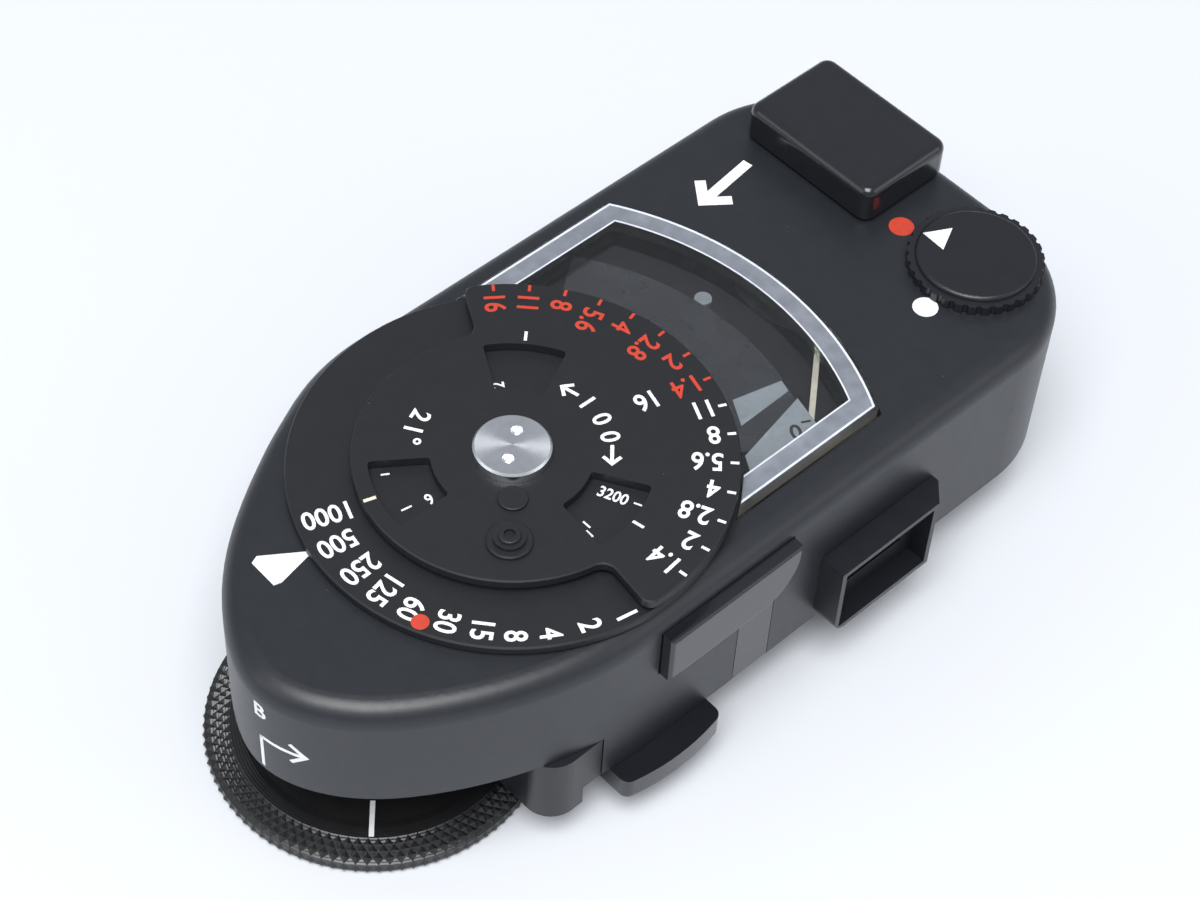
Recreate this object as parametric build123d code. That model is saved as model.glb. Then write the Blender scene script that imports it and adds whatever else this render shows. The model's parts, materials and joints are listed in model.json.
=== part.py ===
from build123d import *
import math
import os

# Handheld exposure meter that slides into a camera's accessory shoe and couples to its shutter dial.
# Millimetres. +X runs along the body to its square end, -Y is the side with the light cell, +Z is up.
# Pieces are drawn in the meter frame (dial axis at X = Y = 0, flat top of the cover at Z = 0) and are
# shifted on saving, so that the origin lies under the middle of the accessory foot.

# ---- driving dimensions ---------------------------------------------------------------------------
FOOT_X = 20.5            # dial axis to middle of the accessory foot
COVER_TOP = 18.9         # cover top above the underside of the foot
BODY_FRONT = -16.1       # front wall
BODY_BACK = 16.5         # back wall
BODY_END = 44.6          # square end of the body
END_CORNER = 9.6         # plan radius of the two corners at the square end
BULGE_R = 16.8           # the back wall bulges round the dial
BULGE_FROM = 114.5       # degrees from +X where the bulge meets the nose
NOSE_POINTS = ((-2.0, BODY_FRONT), (-8.9, -15.1), (-16.6, -11.8), (-21.8, -7.6), (-24.15, -2.0),
               (-22.4, 3.2), (-17.3, 9.05), (-11.6, 12.9))
TOP_ROUND = 1.7          # rounding of the cover's top edge
WALL = 1.0               # cover wall
BODY_BOTTOM = -14.1
NOSE_BOTTOM = -9.7
BASE_LEFT = -8.0         # rounded left end of the base housing, under the nose
NOSE_STEP_X = -5.5       # where the cover's lower edge steps up to the nose
END_UNDERCUT = 5.0       # large radius under the square end
FLOOR = 1.0              # base housing floor

RING_R = 15.5
RING_BASE = 0.18
RING_TOP = 0.80
HUB_R = 3.6
POST_R = 1.5
RUN = 0.05               # radial running clearance
SCALE_DISC_R = 10.7
SCALE_DISC_TOP = 1.18
PLATE_BASE = 1.26
PLATE_TOP = 1.94
PLATE_DISC_R = 10.97
PLATE_FAN_R = 15.6
PLATE_FAN = (-97.0, 61.5)    # the fan-shaped part that carries the aperture numbers, degrees
FILM_WINDOWS = ((25.5, 60.5), (-95.5, -58.5), (144.0, 179.5))
WINDOW_R = (5.6, 9.85)
PEG_AT = (7.67, -133.0)      # radius and angle of the turning peg
BUTTON_AT = (4.10, -131.0)   # radius and angle of the rivet button
SCREW_R = 2.73
SCREW_TOP = 2.75

GEAR_TEETH = 25
GEAR_MODULE = 0.5
GEAR_Z = (-3.7, -2.2)
COUPLING_X = -GEAR_TEETH * GEAR_MODULE
DISC_R = 12.25
DISC_TOP_R = 10.4
DISC_TOP = -17.3
DISC_SHOULDER = -17.95
DISC_BOTTOM = -18.9
SHAFT_FLAT = 1.1

PLATE_Z = (-6.9, -6.1)       # mechanism plate

LENS_R = 26.4
LENS_Y = (-13.2, 14.3)
LENS_TOP = 0.62
LENS_CORNER = 1.6
LENS_BEVEL = 0.4
WINDOW_SCALE_R = 21.3

GALVO = (32.5, 1.3)          # needle pivot
NEEDLE_Z = -2.5
NEEDLE_LENGTH = 17.2
NEEDLE_REST = -139.5         # degrees from +X

KNOB = (38.6, -7.75)
KNOB_R = 5.1
KNOB_CAP_R = 4.5
KNOB_TOP = 1.15
KNOB_TEETH = 32
KNOB_STEM = 1.9              # hole in the cover for the knob's stem

SLIDE_X = (35.2, 44.0)
SLIDE_Y = (0.2, 13.0)
SLIDE_TOP = 3.2
SLIDE_TRAVEL = 2.5
STEM = (38.3, 41.9, 4.2, 9.2)

HOOD_X = (15.0, 24.9)
HOOD_END = 26.4              # the hood's right end slants out to here at the wall
HOOD_Z = (-13.9, -7.0)
HOOD_Y = -18.2
HOOD_RIM = 0.45
TUNNEL_X = (15.5, 23.7)      # light tunnel from the hood to the cell
TUNNEL_Z = (-11.9, -7.5)
TUNNEL_WALL = 0.5

BAR_X = (-0.9, 11.5)
BAR_Z = (-6.0, -1.6)
BAR_Y = -17.1
BAR_BACK = -15.6             # the bar stands in an opening in the wall
BAR_GAP = 0.1
LEG_X = (6.8, 10.3)

CELL_X = 1.2                 # middle of the button cell
CELL_R = 7.8
CELL_HEIGHT = 6.1
DOOR_X = (-7.1, 9.5)
DOOR_THICK = 1.2
TONGUE_X = (-4.8, 4.3)
TONGUE_R = 18.2
TONGUE_THICK = 2.3
LUG_X = (-10.4, -7.2)        # rounded lug of the base beside the door
LUG_FRONT = -15.8
LUG_BOTTOM = -15.9

SHOE_WIDTH = 18.6            # standard accessory foot
SHOE_LENGTH = 18.0
SHOE_THICK = 2.0
SHOE_NECK = 12.5

os.makedirs("parts", exist_ok=True)
LOW = (Align.CENTER, Align.CENTER, Align.MIN)
CORNER = (Align.MIN, Align.MIN, Align.MIN)


# ---- helpers --------------------------------------------------------------------------------------
def save(name, shape):
    solids = shape.solids()
    moved = [Pos(-FOOT_X, 0, COVER_TOP) * solid for solid in solids]
    whole = moved[0] if len(moved) == 1 else Compound(children=moved)
    export_step(whole, f"parts/{name}.step")


def cyl(r, z0, z1, x=0.0, y=0.0):
    return Pos(x, y, z0) * Cylinder(r, z1 - z0, align=LOW)


def block(x0, x1, y0, y1, z0, z1):
    return Pos(x0, y0, z0) * Box(x1 - x0, y1 - y0, z1 - z0, align=CORNER)


def tube(r_in, r_out, z0, z1, x=0.0, y=0.0):
    return cyl(r_out, z0, z1, x, y) - cyl(r_in, z0 - 0.1, z1 + 0.1, x, y)


def prism(face, z0, z1):
    return extrude(Pos(0, 0, z0) * face, z1 - z0)


def polar(r, degrees):
    return (r * math.cos(math.radians(degrees)), r * math.sin(math.radians(degrees)))


def sector(r0, r1, a0, a1):
    """A flat ring sector about the dial axis."""
    mid = (a0 + a1) / 2
    edges = [
        Line(polar(r0, a0), polar(r1, a0)),
        ThreePointArc(polar(r1, a0), polar(r1, mid), polar(r1, a1)),
        Line(polar(r1, a1), polar(r0, a1)),
        ThreePointArc(polar(r0, a1), polar(r0, mid), polar(r0, a0)),
    ]
    return make_face(Wire(edges))


def round_vertical(solid, radius, chosen=lambda edge: True):
    edges = [e for e in solid.edges().filter_by(Axis.Z) if chosen(e)]
    return fillet(edges, radius)


def nose_curve(inset):
    """The free curve of the nose, moved inwards by the inset along its own normals."""
    last = polar(BULGE_R, BULGE_FROM)
    ends = [(-1, 0), (0.88, 0.42)]
    curve = Spline(*NOSE_POINTS, last, tangents=ends)
    if not inset:
        return curve
    inner = []
    for point in NOSE_POINTS:
        along = curve.tangent_at(curve.param_at_point(point))
        inner.append((point[0] + inset * along.Y, point[1] - inset * along.X))
    return Spline(*inner, polar(BULGE_R - inset, BULGE_FROM), tangents=ends)


def body_plan(inset=0.0):
    """Plan outline of the body: egg-shaped nose, a bulge at the dial, straight sides, round end corners."""
    front, back, end = BODY_FRONT + inset, BODY_BACK - inset, BODY_END - inset
    r = END_CORNER - inset
    mid = r * (1 - math.sqrt(0.5))
    bulge = BULGE_R - inset
    to = math.degrees(math.asin(back / bulge))
    edges = [
        nose_curve(inset),
        ThreePointArc(polar(bulge, BULGE_FROM), polar(bulge, (BULGE_FROM + to) / 2), polar(bulge, to)),
        Line(polar(bulge, to), (end - r, back)),
        ThreePointArc((end - r, back), (end - mid, back - mid), (end, back - r)),
        Line((end, back - r), (end, front + r)),
        ThreePointArc((end, front + r), (end - mid, front + mid), (end - r, front)),
        Line((end - r, front), (NOSE_POINTS[0][0], front)),
    ]
    return make_face(Wire(edges))


def end_curve(inset=0.0):
    """What the rounded lower end corner leaves, as one long block along Y."""
    x1, z0 = BODY_END - inset, BODY_BOTTOM + inset
    solid = block(-40, x1, -30, 30, z0, 10)
    lower = solid.edges().filter_by(Axis.Y).sort_by(lambda e: e.center().X - e.center().Z)[-1]
    return fillet(lower, END_UNDERCUT - inset)


def lens_plan(grow=0.0, inner=15.8):
    """Outline of the clear window: an arc about the dial axis between two straight sides."""
    outer = LENS_R + grow
    low, high = LENS_Y[0] - grow, LENS_Y[1] + grow
    ring = make_face(Circle(outer).wire()) - make_face(Circle(inner - grow).wire())
    strip = Pos(outer / 2, (low + high) / 2) * Rectangle(outer, high - low)
    return ring & strip


def gear(teeth, module, z0, z1, bore, backlash=0.16):
    """External involute gear with a tooth on +X."""
    pitch, pressure = teeth * module / 2, math.radians(20)
    base, tip, root = pitch * math.cos(pressure), pitch + 0.95 * module, pitch - 1.25 * module
    half = math.pi / (2 * teeth) - backlash / (2 * pitch)
    flank = []
    for step in range(4):
        r = base + (tip - base) * step / 3
        angle = math.acos(base / r)
        flank.append((r, half + math.tan(pressure) - pressure - (math.tan(angle) - angle)))
    flank = [(root, flank[0][1])] + flank
    points = []
    for tooth in range(teeth):
        middle = 2 * math.pi * tooth / teeth
        for side, row in ((-1, flank), (1, reversed(flank))):
            points += [(r * math.cos(middle + side * a), r * math.sin(middle + side * a)) for r, a in row]
    return prism(make_face(Polyline(*points, close=True)), z0, z1) - cyl(bore, z0 - 1, z1 + 1)


def screw(x, y, head_r, head_z, up, length, shank_r, head_height=0.7):
    """Slotted screw whose head's outer face is at head_z; up is +1 where the head is on top."""
    low = min(head_z, head_z - up * head_height)
    shank = sorted((head_z - up * head_height, head_z - up * (head_height + length)))
    slot = sorted((head_z + up * 0.1, head_z - up * 0.35))
    body = cyl(head_r, low, low + head_height, x, y) + cyl(shank_r, shank[0], shank[1], x, y)
    return body - block(x - head_r, x + head_r, y - 0.2, y + 0.2, slot[0], slot[1])


def coil_spring(radius, wire, z0, z1, turns, x=0.0, y=0.0):
    """Open helical spring, made of one swept round wire."""
    height = z1 - z0 - 2 * wire
    path = Helix(height / turns, height, radius, center=(x, y, z0 + wire))
    plane = Plane(origin=path @ 0, z_dir=path % 0)
    return sweep(plane * Circle(wire), path=path)


def turned_to_y(shape, y, z=0.0):
    """Turns a piece drawn along +Z so that it points along +Y, from the plane at y."""
    return Pos(0, y, z) * Rot(-90, 0, 0) * shape


# ---- casing ---------------------------------------------------------------------------------------
COVER_SCREWS = ((4.4, 12.5), (1.5, -12.4), (34.0, 12.9), (26.5, -12.2))
NOSE_SCREWS = ((-13.0, 8.6), (-20.8, -3.4))
PLATE_SCREWS = ((-9.5, 10.6), (-9.5, -10.6), (-2.0, 12.2))
FOOT_SCREWS = ((15.6, 6.8), (25.4, 6.8), (15.6, -6.8), (25.4, -6.8))


def top_cover():
    outer = prism(body_plan(), BODY_BOTTOM, 0)
    top = outer.faces().sort_by(Axis.Z)[-1]
    outer = fillet(top.edges(), TOP_ROUND) & end_curve()
    outer -= block(-30, NOSE_STEP_X, -20, 20, BODY_BOTTOM - 1, NOSE_BOTTOM)
    inner = prism(body_plan(WALL), BODY_BOTTOM - 1, -WALL)
    shell = outer - inner
    for x, y in COVER_SCREWS:
        shell += cyl(1.7, BODY_BOTTOM + FLOOR, -0.5, x, y)
        shell -= cyl(0.75, BODY_BOTTOM, -3, x, y)
    for x, y in NOSE_SCREWS:
        shell += cyl(1.6, NOSE_BOTTOM + FLOOR, -0.5, x, y)
        shell -= cyl(0.75, NOSE_BOTTOM, -3, x, y)
    for x, y in PLATE_SCREWS:
        shell += cyl(1.5, PLATE_Z[1], -0.5, x, y)
        shell -= cyl(0.55, PLATE_Z[1] - 1, -3, x, y)
    shell -= prism(lens_plan(0.04), -2, 1)
    shell -= cyl(HUB_R + RUN, -2, 1)
    shell -= cyl(KNOB_STEM, -2, 1, *KNOB)
    x0, x1, y0, y1 = STEM
    shell -= block(x0 - SLIDE_TRAVEL - 0.1, x1 + 0.1, y0 - 0.1, y1 + 0.1, -2, 1)
    shell -= block(TUNNEL_X[0] - RUN, TUNNEL_X[1] + RUN, -17, -14, TUNNEL_Z[0] - RUN, TUNNEL_Z[1] + RUN)
    shell -= bar_slab(-17, -14, BAR_GAP)
    shell -= block(LEG_X[0], LEG_X[1], -17, -14, BODY_BOTTOM - 1, BAR_Z[1] - 1.2)
    return shell


def base_housing():
    plan = body_plan(WALL + 0.05)
    solid = prism(plan, BODY_BOTTOM, NOSE_BOTTOM) & end_curve(0.02)
    solid -= block(-40, BASE_LEFT, -20, 20, -20, 0)
    upright = lambda e: abs(e.center().X - BASE_LEFT) < 0.1 and abs(e.center().Y) > 12
    solid = fillet([e for e in solid.edges() if upright(e)], 2.6)
    hollow = prism(body_plan(2 * WALL + 0.05), BODY_BOTTOM + FLOOR, 0) & end_curve(FLOOR)
    hollow -= block(-40, BASE_LEFT + 1.1, -20, 20, -20, 0)
    solid -= hollow
    solid += cyl(CELL_R + 1.0, BODY_BOTTOM, NOSE_BOTTOM, CELL_X)
    solid -= cyl(CELL_R + 0.15, BODY_BOTTOM - 1, 0, CELL_X)
    solid -= block(LEG_X[0] - 0.15, LEG_X[1] + 0.15, -20, -14.05, -20, 0)
    solid -= block(TUNNEL_X[0] - 0.4, TUNNEL_X[1] + 0.4, -20, -14.05, TUNNEL_Z[0] - 0.6, 0)
    for x, y in COVER_SCREWS:
        solid -= cyl(1.75, BODY_BOTTOM + FLOOR, 0, x, y)
        solid -= cyl(0.9, -20, 0, x, y)
        solid -= cyl(1.5, -20, BODY_BOTTOM + 0.6, x, y)
    for x, y in FOOT_SCREWS:
        solid -= cyl(0.75, -20, 0, x, y)
    return solid + base_lug()


def base_lug():
    """Rounded lug under the nose that covers the front end of the left door rail."""
    lug = block(LUG_X[0], LUG_X[1], LUG_FRONT, -9.0, LUG_BOTTOM, NOSE_BOTTOM - RUN)
    lug -= block(DOOR_X[0] - 0.85, 0, -14.05, 0, -20, BODY_BOTTOM)
    lug += block(LUG_X[1] - 0.1, NOSE_STEP_X - 0.1, LUG_FRONT, -13.5, BODY_BOTTOM, NOSE_BOTTOM - RUN)
    corner = lambda e: e.center().X < LUG_X[0] + 0.05 and e.center().Y < LUG_FRONT + 0.05
    lug = fillet([e for e in lug.edges().filter_by(Axis.Z) if corner(e)], 2.2)
    return lug


def nose_plate():
    plan = body_plan(WALL + 0.05)
    solid = prism(plan, NOSE_BOTTOM, NOSE_BOTTOM + FLOOR) & block(-40, NOSE_STEP_X, -20, 20, -20, 0)
    solid -= cyl(2.2, -20, 0, COUPLING_X)
    solid -= cyl(CELL_R + 1.1, -20, 0, CELL_X)
    for x, y in NOSE_SCREWS:
        solid -= cyl(0.9, -20, 0, x, y)
        solid -= cyl(1.5, -20, NOSE_BOTTOM + 0.6, x, y)
    return solid


def mechanism_plate():
    solid = prism(body_plan(WALL + 0.6), *PLATE_Z) & block(-40, 22, -20, 20, -20, 0)
    solid -= cyl(POST_R, -20, 0)
    solid -= cyl(2.2, -20, 0, COUPLING_X)
    for x, y in COVER_SCREWS[:2]:
        solid -= cyl(2.0, -20, 0, x, y)
    for x, y in NOSE_SCREWS:
        solid -= cyl(1.9, -20, 0, x, y)
    for x, y in PLATE_SCREWS:
        solid -= cyl(0.75, -20, 0, x, y)
    solid -= block(LEG_X[0] - 0.9, LEG_X[1] + 0.9, -20, -12.2, -20, 0)
    return solid


def screws(places, head_r, head_z, up, length, shank_r, head_height=0.55):
    made = [screw(x, y, head_r, head_z, up, length, shank_r, head_height) for x, y in places]
    return Compound(children=made)


# ---- accessory foot -------------------------------------------------------------------------------
def accessory_foot():
    half = SHOE_WIDTH / 2
    bottom = -COVER_TOP
    plate_low = bottom + SHOE_THICK + 2.0
    runner = block(FOOT_X - half, FOOT_X + half, -SHOE_LENGTH / 2, SHOE_LENGTH / 2, bottom, bottom + SHOE_THICK)
    runner = round_vertical(runner, 1.5)
    runner = chamfer(runner.faces().sort_by(Axis.Z)[-1].edges(), 0.3)
    neck = block(FOOT_X - SHOE_NECK / 2, FOOT_X + SHOE_NECK / 2, -8.2, 8.2, bottom + 1, plate_low + 0.3)
    plate = round_vertical(block(FOOT_X - 7.5, FOOT_X + 7.5, -9.5, 9.5, plate_low, BODY_BOTTOM), 1.5)
    solid = runner + neck + plate
    for x, y in FOOT_SCREWS:
        solid -= cyl(0.8, bottom - 1, 0, x, y)
        solid -= cyl(1.45, bottom - 1, bottom + 0.8, x, y)
    return solid


def foot_spring():
    """Two bowed leaves let into the top of the runner, which press against the shoe's rails."""
    top = -COVER_TOP + SHOE_THICK
    leaves = []
    for side in (-1, 1):
        arc = ThreePointArc((-6.5, 0.0), (0, 0.28), (6.5, 0.0))
        face = make_face(Wire([arc, Line((6.5, 0.0), (-6.5, 0.0))]))
        leaf = extrude(Plane.YZ * face, 1.2)
        leaves.append(Pos(FOOT_X + side * 8.0 - 0.6, 0, top) * leaf)
    return Compound(children=leaves)


# ---- battery --------------------------------------------------------------------------------------
def button_cell():
    low = BODY_BOTTOM + 0.05
    can = cyl(CELL_R, low + 1.0, low + CELL_HEIGHT, CELL_X)
    can = fillet(can.edges().sort_by(Axis.Z)[-1], 0.6)
    return can + cyl(CELL_R - 1.4, low, low + 1.0, CELL_X)


def cell_contact():
    """Leaf spring above the cell: a flat tail, a bow that presses on the cell and a rivet hole."""
    z0 = BODY_BOTTOM + 0.05 + CELL_HEIGHT + 0.03
    strip = block(CELL_X - 6.5, CELL_X + 6.5, -2.0, 2.0, z0 + 0.5, z0 + 0.75)
    pad = cyl(1.6, z0, z0 + 0.5, CELL_X)
    return strip + pad - cyl(0.5, -20, 0, CELL_X + 4.8)


def battery_door():
    z1 = BODY_BOTTOM - 0.04
    plate = block(DOOR_X[0], DOOR_X[1], -14.6, 9.8, z1 - DOOR_THICK, z1)
    fan = cyl(TONGUE_R, z1 - TONGUE_THICK, z1) & block(TONGUE_X[0], TONGUE_X[1], -20, -14.2, -30, 0)
    fan = round_vertical(fan, 0.8, lambda e: e.center().Y < -16)
    fan = fillet([e for e in fan.edges() if e.center().Y < -15.0 and e.center().Z < z1 - 1.0], 0.55)
    solid = plate + fan
    return solid - block(-2.6, 2.2, -14.0, -13.2, z1 - DOOR_THICK - 0.1, z1 - DOOR_THICK + 0.3)


def door_rails():
    z1 = BODY_BOTTOM
    lip = z1 - DOOR_THICK - 0.1
    rails = []
    for side, edge in ((-1, DOOR_X[0]), (1, DOOR_X[1])):
        wall = sorted((edge + side * 0.05, edge + side * 0.75))
        under = sorted((edge - side * 0.8, edge + side * 0.75))
        rail = block(wall[0], wall[1], -14.0, 12.0, lip - 0.55, z1)
        rail += block(under[0], under[1], -14.0, 12.0, lip - 0.55, lip)
        rails.append(rail)
    stop = block(DOOR_X[0] + 1.2, DOOR_X[1] - 1.2, 9.9, 11.5, lip, z1)
    return Compound(children=rails + [stop])


# ---- dial stack -----------------------------------------------------------------------------------
def shutter_ring():
    solid = cyl(RING_R, RING_BASE, RING_TOP)
    solid = chamfer(solid.edges().sort_by(Axis.Z)[-1], 0.12)
    solid += cyl(HUB_R, GEAR_Z[0] - 0.6, RING_BASE + 0.1)
    solid -= cyl(POST_R + RUN, -20, 5)
    return solid


def film_scale_disc():
    return tube(POST_R + 0.4, SCALE_DISC_R, RING_TOP, SCALE_DISC_TOP)


def aperture_plate():
    low, high = PLATE_FAN
    face = make_face(Circle(PLATE_DISC_R).wire()) + sector(PLATE_DISC_R - 3, PLATE_FAN_R, low, high)
    solid = prism(face, PLATE_BASE, PLATE_TOP)
    inner = lambda e: abs(math.hypot(e.center().X, e.center().Y) - PLATE_DISC_R) < 0.2
    outer = lambda e: abs(math.hypot(e.center().X, e.center().Y) - PLATE_FAN_R) < 0.2
    solid = round_vertical(solid, 1.1, inner)
    solid = round_vertical(solid, 0.8, outer)
    for a0, a1 in FILM_WINDOWS:
        opening = prism(sector(WINDOW_R[0], WINDOW_R[1], a0, a1), PLATE_BASE - 1, PLATE_TOP + 1)
        solid -= round_vertical(opening, 0.3)
    solid = chamfer(solid.faces().sort_by(Axis.Z)[-1].outer_wire().edges(), 0.1)
    solid -= cyl(POST_R + RUN, -5, 5)
    for r, angle in (PEG_AT, BUTTON_AT):
        solid -= cyl(0.45, -5, 5, *polar(r, angle))
    return solid


def turning_peg():
    x, y = polar(*PEG_AT)
    foot = chamfer(cyl(1.6, PLATE_TOP, PLATE_TOP + 0.32, x, y).edges().sort_by(Axis.Z)[-1], 0.1)
    neck = cyl(1.12, PLATE_TOP + 0.3, PLATE_TOP + 0.62, x, y)
    head = fillet(cyl(0.78, PLATE_TOP + 0.6, PLATE_TOP + 0.86, x, y).edges().sort_by(Axis.Z)[-1], 0.12)
    stem = cyl(0.45, PLATE_BASE, PLATE_TOP, x, y)
    return foot + neck + head + stem - cyl(0.4, PLATE_TOP + 0.62, PLATE_TOP + 2, x, y)


def rivet_button():
    x, y = polar(*BUTTON_AT)
    head = fillet(cyl(1.05, PLATE_TOP, PLATE_TOP + 0.22, x, y).edges().sort_by(Axis.Z)[-1], 0.1)
    return head + cyl(0.45, PLATE_BASE, PLATE_TOP, x, y)


def dial_post():
    solid = cyl(POST_R, PLATE_Z[0], PLATE_TOP + 0.02) + cyl(2.4, PLATE_Z[1], PLATE_Z[1] + 1.0)
    return solid - cyl(0.8, -4, 5)


def centre_screw():
    low = PLATE_TOP + 0.02
    head = chamfer(cyl(SCREW_R, low, SCREW_TOP).edges().sort_by(Axis.Z)[-1], 0.15)
    solid = head + cyl(0.8, -3.6, low)
    for angle in (35.0, 215.0):
        solid -= cyl(0.42, SCREW_TOP - 0.6, SCREW_TOP + 1, *polar(1.27, angle))
    return solid


def ring_gear():
    return gear(GEAR_TEETH, GEAR_MODULE, *GEAR_Z, HUB_R)


# ---- coupling to the camera's shutter dial --------------------------------------------------------
def coupling_gear():
    return Pos(COUPLING_X, 0, 0) * gear(GEAR_TEETH, GEAR_MODULE, *GEAR_Z, POST_R)


def coupling_shaft():
    upper = cyl(POST_R, -10.4, -1.4, COUPLING_X)
    flats = block(COUPLING_X - SHAFT_FLAT, COUPLING_X + SHAFT_FLAT, -3, 3, -18.15, -10.4)
    lower = cyl(POST_R, -18.15, -10.4, COUPLING_X) & flats
    collar = cyl(2.4, -4.4, GEAR_Z[0], COUPLING_X)
    return upper + lower + collar - cyl(0.6, -20, -14, COUPLING_X)


def shaft_bushes():
    upper = tube(POST_R + 0.04, 2.2, PLATE_Z[0], PLATE_Z[1] + 0.6, COUPLING_X)
    lower = tube(POST_R + 0.04, 2.2, NOSE_BOTTOM, NOSE_BOTTOM + FLOOR, COUPLING_X)
    flange = tube(POST_R + 0.04, 3.2, NOSE_BOTTOM - 0.5, NOSE_BOTTOM, COUPLING_X)
    return Compound(children=[upper, lower + flange])


def coupling_disc():
    profile = Polyline(
        (0, DISC_BOTTOM + 0.8), (9.6, DISC_BOTTOM + 0.8), (10.0, DISC_BOTTOM), (DISC_R - 0.25, DISC_BOTTOM),
        (DISC_R, DISC_BOTTOM + 0.25), (DISC_R, DISC_SHOULDER), (DISC_TOP_R, DISC_TOP), (9.6, DISC_TOP),
        (9.0, DISC_TOP - 0.15), (4.0, DISC_TOP - 0.15), (3.6, -13.4), (0, -13.4), close=True)
    solid = revolve(Plane.XZ * make_face(profile), Axis.Z)
    flat = SHAFT_FLAT + 0.04
    hole = cyl(POST_R + 0.04, -30, 0) & block(-flat, flat, -3, 3, -30, 0)
    solid -= hole
    solid += tube(2.9, 3.9, DISC_BOTTOM + 0.15, DISC_BOTTOM + 0.9)
    solid = Pos(COUPLING_X, 0, 0) * solid
    solid -= cyl(0.7, -30, DISC_TOP - 0.4, COUPLING_X - 6.2)
    return solid


def coupling_pin():
    return cyl(0.7, DISC_BOTTOM + 0.05, DISC_TOP - 0.4, COUPLING_X - 6.2)


def coupling_screw():
    z = -18.15
    return cyl(2.3, z - 0.55, z, COUPLING_X) + cyl(0.6, z, -14.2, COUPLING_X) - block(
        COUPLING_X - 3, COUPLING_X + 3, -0.2, 0.2, z - 1, z - 0.3)


def lift_spring():
    return coil_spring(2.0, 0.2, -13.38, -10.22, 3.5, COUPLING_X)


# ---- window and galvanometer ----------------------------------------------------------------------
def window_lens():
    raised = prism(lens_plan(), -1.7, LENS_TOP)
    corners = lambda e: math.hypot(e.center().X, e.center().Y) > LENS_R - 1
    raised = round_vertical(raised, LENS_CORNER, corners)
    top = raised.faces().sort_by(Axis.Z)[-1].edges()
    rim = [e for e in top if e.center().X > 18 or abs(e.center().Y) > 13]
    raised = chamfer(rim, LENS_BEVEL)
    flange = prism(lens_plan(0.7), -1.7, -WALL)
    return raised + flange


def window_scale():
    low, high = (-math.degrees(math.asin(11.6 / WINDOW_SCALE_R)), math.degrees(math.asin(12.6 / WINDOW_SCALE_R)))
    solid = prism(sector(11.6, WINDOW_SCALE_R, low, high), -2.1, -1.8)
    for angle in (low + 5, high - 5):
        x, y = polar(12.9, angle)
        solid += cyl(0.7, -4.1, -2.0, x, y)
    return solid


def window_well():
    solid = prism(lens_plan(0.4, 10.5), -4.5, -4.1)
    solid -= block(0, LEG_X[1] + 0.9, -20, -10.5, -20, 0)
    solid -= cyl(2.0, -20, 0, *COVER_SCREWS[0])
    solid -= cyl(7.3, -20, 0, *GALVO)
    for x, y in ((17.0, 11.5), (17.0, -11.0)):
        solid += cyl(0.9, PLATE_Z[1], -4.3, x, y)
    return solid


def around_galvo(shape):
    return Pos(GALVO[0], GALVO[1], 0) * shape


def meter_magnet():
    return around_galvo(tube(5.0, 7.0, -10.8, -4.8))


def meter_core():
    solid = cyl(2.6, -10.3, -5.3)
    solid += block(-0.7, 0.7, -4.9, 4.9, -9.0, -6.6)
    return around_galvo(solid - cyl(0.6, -20, 0))


def meter_coil():
    loop = block(-3.9, 3.9, -0.7, 0.7, -11.2, -4.4) - block(-3.0, 3.0, -2, 2, -10.6, -5.0)
    return around_galvo(Rot(0, 0, NEEDLE_REST) * loop)


def needle():
    arm = block(0, NEEDLE_LENGTH, -0.22, 0.22, NEEDLE_Z - 0.1, NEEDLE_Z + 0.1)
    tail = block(-3.4, 0, -0.35, 0.35, NEEDLE_Z - 0.1, NEEDLE_Z + 0.1) + cyl(0.8, NEEDLE_Z - 0.3, NEEDLE_Z + 0.3, -3.0)
    hub = tube(0.3, 0.9, NEEDLE_Z - 0.3, NEEDLE_Z + 0.3)
    return around_galvo(Rot(0, 0, NEEDLE_REST) * (arm + tail - cyl(0.3, -5, 0) + hub))


def pivot_staffs():
    upper = cyl(0.3, -4.4, -2.05) + Pos(0, 0, -2.05) * Cone(0.3, 0.05, 0.35, align=LOW)
    lower = cyl(0.3, -11.7, -11.2) + Pos(0, 0, -11.95) * Cone(0.05, 0.3, 0.25, align=LOW)
    return Compound(children=[around_galvo(upper), around_galvo(lower)])


def meter_bridges():
    top = block(-1.1, 1.1, -6.8, 6.8, -2.0, -1.35)
    for side in (-1, 1):
        top += cyl(0.8, -4.8, -1.7, 0, side * 6.0)
    top -= cyl(0.7, -3, 0)
    bottom = block(-1.1, 1.1, -6.8, 6.8, -13.05, -12.0)
    for side in (-1, 1):
        bottom += cyl(0.8, -12.2, -10.8, 0, side * 6.0)
    bottom -= cyl(0.7, -14, -11)
    return Compound(children=[around_galvo(round_vertical(top, 0.7, lambda e: abs(e.center().Y) > 6.7)),
                              around_galvo(bottom)])


def jewel_screws():
    top = cyl(0.7, -2.0, -1.2) - Pos(0, 0, -2.01) * Cone(0.32, 0.02, 0.45, align=LOW)
    bottom = cyl(0.7, -13.05, -11.98) - Pos(0, 0, -12.1) * Cone(0.02, 0.32, 0.45, align=LOW)
    return Compound(children=[around_galvo(top), around_galvo(bottom)])


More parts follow.
